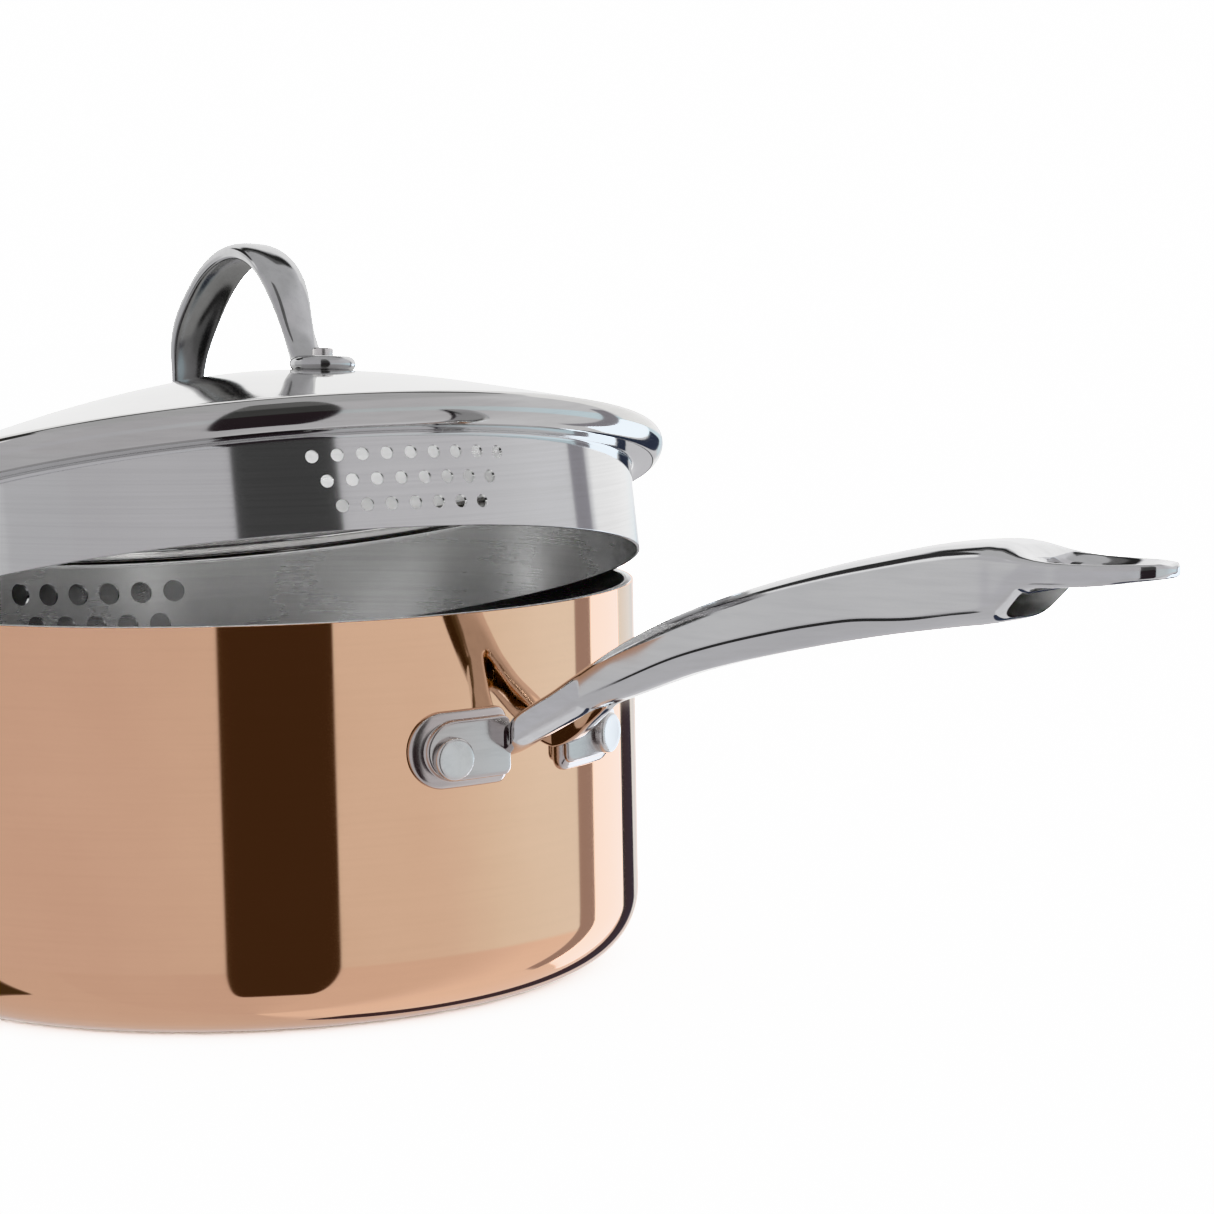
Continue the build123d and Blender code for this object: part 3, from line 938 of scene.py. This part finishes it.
def lid_collar():
    """Strainer collar: straight wall, flange under the dome, and its rows of holes."""
    profile = [(COLLAR, z) for z in (0.1, 6.0, 12.0, 18.0, FLANGE_LOW - 1.0)]
    profile += arc((COLLAR + 1.0, FLANGE_LOW - 1.0), 1.0, 180, 90, 6)
    profile += [(101.0, FLANGE_LOW), (FLANGE_EDGE, FLANGE_LOW)]
    profile += [(FLANGE_EDGE, FLANGE_TOP), (101.0, FLANGE_TOP), (COLLAR + 0.6, FLANGE_TOP)]
    profile += arc((COLLAR + 0.4, FLANGE_TOP - 1.2), 1.2, 90, 180, 6)
    profile += [(COLLAR - SHEET, z) for z in (20.0, 18.0, 12.0, 6.0, 0.1)]
    profile += [(COLLAR - SHEET + 0.1, 0.0), (COLLAR - 0.1, 0.0)]
    points, faces = lathe(profile, 360)
    collar = make_object("lid_collar_sheet", points, faces, LID_PLACE, sharp=35)
    collar = cut(collar, collar_drills(), 35)
    round_normals(collar, LID_PLACE)
    mark_inside(collar, COLLAR + 0.5, -0.5)
    materials = (collar_steel, collar_drawn)
    finish_piece(collar, materials, "lid", "collar_steel", "lid_strainer_collar")


lid_dome()
lid_collar()


# ---- bow -----------------------------------------------------------------------
FOOT_REACH, FOOT_HEIGHT, FOOT_SLOPE = 39.0, 49.0, 11.5
FOOT_BOTTOM, FOOT_TOP = 0.3, 4.4
FOOT_SIDE = [
    (7.6, 0.75), (8.05, 1.3), (8.3, 2.1), (8.25, 2.85), (7.9, 3.5), (7.2, 4.05), (6.2, 4.35),
]
BOW_CENTRE = 58.0           # height on the lid's axis that the strap's inner face looks at
BOW_NARROW, BOW_WIDEN = 4.5, 2.0    # half-width at the feet, and what the crown adds
# from the near foot over the crown to the far foot: (along the bow, height above the collar's edge)
BOW_OUTER = [
    (35.6, 53.0), (31.6, 61.0), (29.6, 70.0), (23.6, 81.5), (14.5, 88.3), (5.0, 90.4),
    (-6.0, 88.7), (-14.0, 84.9), (-22.4, 79.2), (-29.2, 69.6), (-31.4, 61.0), (-35.6, 53.0),
]
BOW_INNER = [
    (31.0, 53.0), (28.6, 61.0), (26.0, 69.5), (20.0, 80.0), (12.5, 84.6), (5.0, 85.8),
    (-6.0, 83.8), (-14.0, 79.6), (-20.5, 74.6), (-25.8, 68.0), (-28.4, 61.0), (-31.0, 53.0),
]
# right half of the strap's section, from the middle of its crowned outer face to its inner face:
# (share of the half-width, share of the thickness)
BOW_SECTION = [
    (0.42, 0.99), (0.80, 0.86), (0.99, 0.62), (1.03, 0.40), (1.0, 0.14),
    (0.92, -0.02), (0.74, 0.02), (0.36, 0.20),
]


def bow_section():
    """Section of the strap: crowned outside, slightly hollow inside."""
    left = [(-across, share) for across, share in BOW_SECTION[::-1]]
    control = np.array([(0.0, 1.00)] + BOW_SECTION + [(0.0, 0.24)] + left)
    section = bspline_closed(control, 5)
    section[:, 0] /= abs(section[:, 0]).max()
    low, high = section[:, 1].min(), section[:, 1].max()
    section[:, 1] = (section[:, 1] - low) / (high - low)
    return section


def bow_strap():
    """The strap, whose inner face carries the duller cast material."""
    outer = np.array(spline(BOW_OUTER, [(-0.5, 1), (-0.5, -1)], 12))
    inner = np.array(spline(BOW_INNER, [(-0.3, 1), (-0.3, -1)], 12))
    section = bow_section()
    points = []
    for o, i in zip(outer, inner):
        rise = min(max((o[1] - BOW_CENTRE) / 24, 0), 1)
        half = BOW_NARROW + BOW_WIDEN * rise * rise * (3 - 2 * rise)
        for across, share in section:
            x, z = i + (o - i) * share
            points.append((x, across * half, z))
    place = LID_PLACE @ turn(BOW_AZIMUTH, "Z")
    strap = make_object("strap", points, tube_faces(len(outer), len(section)), place, sharp=50)
    centre = place @ Vector((0, 0, BOW_CENTRE))
    for poly in strap.data.polygons:
        inward = (centre - poly.center / MM).normalized()
        poly.material_index = 1 if poly.normal.dot(inward) > 0.55 else 0
    return strap


def foot_place(end):
    """Seat of the foot at azimuth end from the bow's own, sloping with the dome."""
    place = LID_PLACE @ turn(BOW_AZIMUTH + end, "Z")
    place = place @ Matrix.Translation(Vector((FOOT_REACH, 0, FOOT_HEIGHT)))
    return place @ turn(FOOT_SLOPE, "Y")


def bow_foot(end):
    """Round foot with a bulging side."""
    profile = [(0, FOOT_BOTTOM), (7.5, FOOT_BOTTOM)] + spline(FOOT_SIDE, None, 5)
    profile += [(4.0, FOOT_TOP), (0, FOOT_TOP)]
    points, faces = lathe(profile, 96, closed=False)
    return make_object(f"foot{end}", points, faces, foot_place(end), sharp=45, merge=0.01)


def lid_rivet(name, end, node):
    """Small head above the foot, shank through foot and dome, button head under the dome."""
    profile = [(0, 6.4), (1.7, 6.42), (2.3, 6.35), (2.6, 6.15), (2.7, 5.8), (2.7, 4.2), (2.0, 4.2)]
    profile += [(2.0, 0.2), (4.0, 0.2), (4.0, -0.5), (3.6, -1.0), (2.5, -1.2), (0, -1.2)]
    points, faces = lathe(profile, 48, closed=False)
    rivet = make_object(name, points, faces, foot_place(end), sharp=50, merge=0.01)
    finish_piece(rivet, (rivet_steel,), "lid", "rivet_steel", node)


bow = joined("lid_bow_steel", [bow_strap(), bow_foot(0), bow_foot(180)])
finish_piece(bow, (bow_steel, bow_inside), "lid", "handle_steel", "lid_bow_handle")
lid_rivet("lid_rivet_near", 0, "lid_rivet_front")
lid_rivet("lid_rivet_far", 180, "lid_rivet_rear")


# ---- studio --------------------------------------------------------------------
PLAIN_STRENGTH = 14.0       # plain white that lights the floor and stands behind the object
SEAM = -100.0               # azimuths run from here to 260 degrees, and no panel crosses the seam
PANELS = (
    # azimuth from, to, soft, elevation from, to, soft, colour
    (79.0, 124.0, 2.0, -3.0, 43.0, 3.0, (1.15, 1.15, 1.15)),
    (120.0, 225.0, 6.0, -20.0, 43.0, 3.0, (1.1, 1.1, 1.1)),
    (200.0, 238.0, 8.0, -17.0, 24.0, 4.0, (0.73, 0.73, 0.74)),
    (98.0, 178.0, 3.0, 44.0, 57.5, 1.5, (0.20, 0.20, 0.20)),
    (95.0, 180.0, 6.0, 45.0, 52.0, 1.5, (0.07, 0.07, 0.07)),
    (175.0, 214.0, 3.0, 29.0, 50.0, 1.5, (0.09, 0.09, 0.09)),
    (68.0, 77.3, 1.0, -42.0, 14.0, 2.0, (0.38, 0.37, 0.40)),
    (77.3, 98.5, 1.4, -38.0, -3.0, 2.5, (3.1, 3.42, 3.75)),
    (203.0, 234.0, 3.0, -46.0, -22.0, 2.0, (0.08, 0.08, 0.08)),
    (-50.0, -17.5, 0.6, -54.0, 68.0, 2.0, (0.075, 0.068, 0.072)),
    (-50.0, -17.5, 0.6, 2.0, 68.0, 3.0, (0.125, 0.125, 0.125)),
    (-50.0, -17.5, 0.6, 36.0, 68.0, 8.0, (0.22, 0.22, 0.22)),
)
# a dark gap beside the brightest panel, whose edges lean
GAP_EDGES = (98.5, 113.5, 0.8, -66.0, -7.3, 0.5)
GAP_COLOUR = (0.085, 0.094, 0.125)
GAP_LEAN = 0.25


def studio_world():
    """Soft studio: pale all round, with dark gaps and brighter panels for the metal to mirror."""
    world = bpy.data.worlds.new("studio")
    bpy.context.scene.world = world
    world.use_nodes = True
    n = Nodes(world.node_tree)
    output = n.add("ShaderNodeOutputWorld")
    place = n.add("ShaderNodeTexCoord").outputs["Generated"]
    split = n.add("ShaderNodeSeparateXYZ")
    n.link(place, split.inputs[0])
    x, y, z = split.outputs
    turned = n.math("MULTIPLY", n.math("ARCTAN2", y, x), 180 / math.pi)
    azimuth = n.math("ADD", turned, n.math("MULTIPLY", n.math("LESS_THAN", turned, SEAM), 360.0))
    elevation = n.math("MULTIPLY", n.math("ARCSINE", z), 180 / math.pi)

    def rounded_mask(across, a0, a1, asoft, e0, e1, esoft):
        """1 inside a soft-edged rectangle with rounded corners, 0 outside."""
        shares = []
        for value, low, high, soft in ((across, a0, a1, asoft), (elevation, e0, e1, esoft)):
            rise = n.step(value, low - soft, low + soft)
            fall = n.step(value, high - soft, high + soft, 1.0, 0.0)
            shares.append(n.math("MULTIPLY", rise, fall))
        both = n.math("MULTIPLY", *shares)
        middle = n.math("DIVIDE", n.math("SUBTRACT", across, (a0 + a1) / 2), (a1 - a0) / 2)
        height = n.math("DIVIDE", n.math("SUBTRACT", elevation, (e0 + e1) / 2), (e1 - e0) / 2)
        power = n.math("ADD", n.math("POWER", n.math("ABSOLUTE", middle), 9.0),
                       n.math("POWER", n.math("ABSOLUTE", height), 9.0))
        return n.math("MULTIPLY", both, n.step(power, 0.85, 1.25, 1.0, 0.0))

    # the walls of the studio
    level = n.mix(n.step(azimuth, -60.0, -10.0), (0.63, 0.62, 0.64), (0.70, 0.69, 0.71))
    level = n.mix(n.step(azimuth, 15.0, 58.0), level, (0.84, 0.84, 0.86))
    level = n.mix(n.step(azimuth, 110.0, 130.0), level, (0.64, 0.635, 0.655))
    # a band at table height, which the pan's wall mirrors
    band = n.mix(n.step(azimuth, -90.0, 0.0), (0.643, 0.637, 0.665), (0.715, 0.755, 0.775))
    band = n.mix(n.step(azimuth, 5.0, 60.0), band, (0.82, 0.97, 1.04))
    band = n.mix(n.step(azimuth, 110.0, 130.0), band, (0.643, 0.637, 0.665))
    band_top = n.step(elevation, 2.0, 5.0, 1.0, 0.0)
    in_band = n.math("MULTIPLY", n.step(elevation, -17.0, -13.0), band_top)
    level = n.mix(in_band, level, band)
    # the ceiling
    level = n.mix(n.step(elevation, 42.0, 56.0), level, (0.60, 0.60, 0.61))
    for *edges, colour in PANELS:
        level = n.mix(rounded_mask(azimuth, *edges), level, colour)
    lean = n.math("MULTIPLY", n.math("ADD", elevation, 9.0), GAP_LEAN)
    slanted = n.math("ADD", azimuth, lean)
    level = n.mix(rounded_mask(slanted, *GAP_EDGES), level, GAP_COLOUR)

    studio = n.add("ShaderNodeBackground")
    n.link(level, studio.inputs["Color"])
    plain = n.add("ShaderNodeBackground")
    plain.inputs["Color"].default_value = (1, 1, 1, 1)
    plain.inputs["Strength"].default_value = PLAIN_STRENGTH
    path = n.add("ShaderNodeLightPath")
    choose = n.add("ShaderNodeMixShader")
    seen = n.math("MAXIMUM", path.outputs["Is Camera Ray"], path.outputs["Is Diffuse Ray"])
    n.link(seen, choose.inputs[0])
    n.link(studio.outputs[0], choose.inputs[1])
    n.link(plain.outputs[0], choose.inputs[2])
    n.link(choose.outputs[0], output.inputs["Surface"])


FLOOR_HALF = 6.0            # metres
FLOOR_DROP = 0.0004         # metres below the base


def pale_floor():
    """Plain floor, which the metal doesn't mirror."""
    mesh = bpy.data.meshes.new("floor")
    corners = [(-1, -1), (1, -1), (1, 1), (-1, 1)]
    points = [(x * FLOOR_HALF, y * FLOOR_HALF, -FLOOR_DROP) for x, y in corners]
    mesh.from_pydata(points, [], [(0, 1, 2, 3)])
    floor = bpy.data.objects.new("floor", mesh)
    bpy.context.scene.collection.objects.link(floor)
    material = bpy.data.materials.new("floor_pale")
    material.use_nodes = True
    shader = material.node_tree.nodes["Principled BSDF"]
    shader.inputs["Base Color"].default_value = (0.9, 0.9, 0.9, 1)
    shader.inputs["Roughness"].default_value = 0.9
    shader.inputs["Specular IOR Level"].default_value = 0.0
    mesh.materials.append(material)
    floor.visible_glossy = False


def inside_light(name, place, facing, width, height, radiance, mirrored=True):
    """Soft panel inside the pan or lid, unseen by the camera, so that the inside isn't black."""
    light = bpy.data.lights.new(name, "AREA")
    light.shape = "RECTANGLE"
    light.size, light.size_y = width * MM, height * MM
    light.energy = radiance * math.pi * width * height * MM * MM
    lamp = bpy.data.objects.new(name, light)
    bpy.context.scene.collection.objects.link(lamp)
    turned = Vector(facing).normalized().to_track_quat("-Z", "Y").to_matrix().to_4x4()
    lamp.matrix_world = Matrix.Translation(Vector(place) * MM) @ turned
    lamp.visible_camera = False
    lamp.visible_glossy = mirrored


studio_world()
pale_floor()
# two over the base shine up, the second only on what isn't a mirror; three hang under the dome
inside_light("fill_base", (0, 0, 30), (0, 0, 1), 110, 110, 1.2)
inside_light("fill_dome", (0, 0, 40), (0, 0, 1), 110, 110, 14, mirrored=False)
inside_light("fill_front", (-4, -66, 118), (0.1, 1, -0.15), 74, 16, 1.1)
inside_light("fill_left", (-76, 2, 99), (1, 0.75, 0), 14, 16, 2.2)
inside_light("fill_right", (66, 22, 142), (-1, 0, -0.3), 24, 16, 0.8)


# ---- camera --------------------------------------------------------------------
EYE = (0.6470, -0.5806, 0.1818)             # metres
FORWARD = (-0.66285, 0.74152, -0.10377)
ABOVE = (-0.05587, 0.08922, 0.99444)        # up in the picture, nearly
SENSOR, FOCAL = 36.0, 97.86


def photo_camera():
    """Camera at the photograph's viewing angle."""
    lens = bpy.data.cameras.new("view")
    camera = bpy.data.objects.new("view", lens)
    bpy.context.scene.collection.objects.link(camera)
    lens.sensor_width = SENSOR
    lens.lens = FOCAL
    lens.clip_start, lens.clip_end = 0.05, 50
    forward = Vector(FORWARD).normalized()
    right = forward.cross(Vector(ABOVE)).normalized()
    up = right.cross(forward)
    basis = Matrix((right, up, -forward)).transposed()
    camera.matrix_world = Matrix.Translation(Vector(EYE)) @ basis.to_4x4()
    return camera


scene = bpy.context.scene
scene.view_settings.view_transform = "Khronos PBR Neutral"
scene.view_settings.look = "None"
scene.camera = photo_camera()
